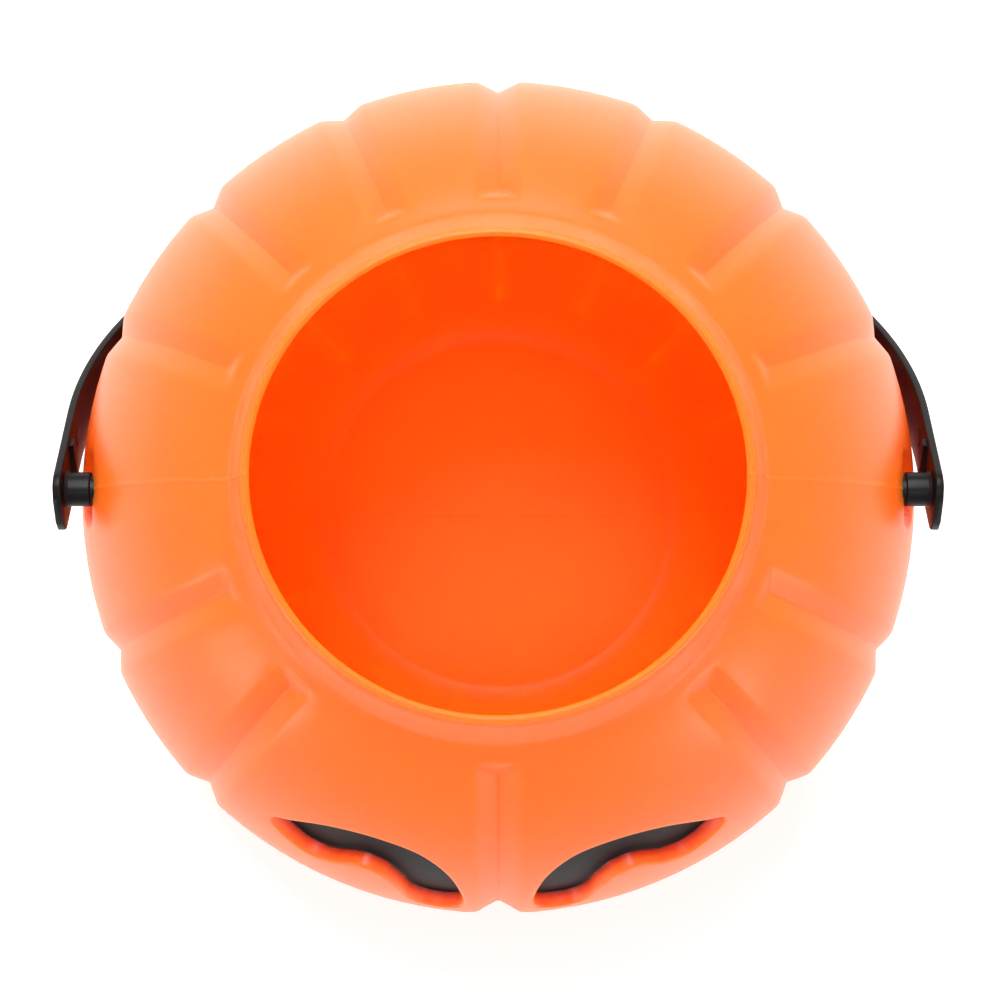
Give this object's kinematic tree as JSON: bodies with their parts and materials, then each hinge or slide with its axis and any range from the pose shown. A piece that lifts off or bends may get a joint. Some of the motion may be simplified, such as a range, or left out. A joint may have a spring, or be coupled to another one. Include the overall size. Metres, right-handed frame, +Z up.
{
  "type": "treat pail",
  "caption": "Pumpkin-shaped blow-moulded treat pail with a wide round mouth, painted face recesses and a swinging snap-in strap handle.",
  "frame": {"origin": "centre of the foot ring, on the surface the pail stands on", "axes": "+Z up out of the mouth, the painted face looks towards -Y, the handle studs are on a line along X"},
  "size_m": [0.22, 0.2158, 0.172],
  "materials": {
    "orange_polyethylene": "satin blow-moulded polyethylene",
    "black_polyethylene": "satin injection-moulded polyethylene",
    "black_paint": "matt black sprayed paint film"
  },
  "bodies": {
    "pail": {"pail_shell": "orange_polyethylene", "right_eye_paint": "black_paint", "left_eye_paint": "black_paint", "nose_paint": "black_paint", "mouth_paint": "black_paint"},
    "handle": {"handle_strap": "black_polyethylene"}
  },
  "joints": [
    {"name": "handle_swing", "type": "hinge", "parent": "pail", "child": "handle", "pos_m": [0, 0, 0.118], "axis": [1, 0, 0], "range_deg": [0, 278]}
  ]
}
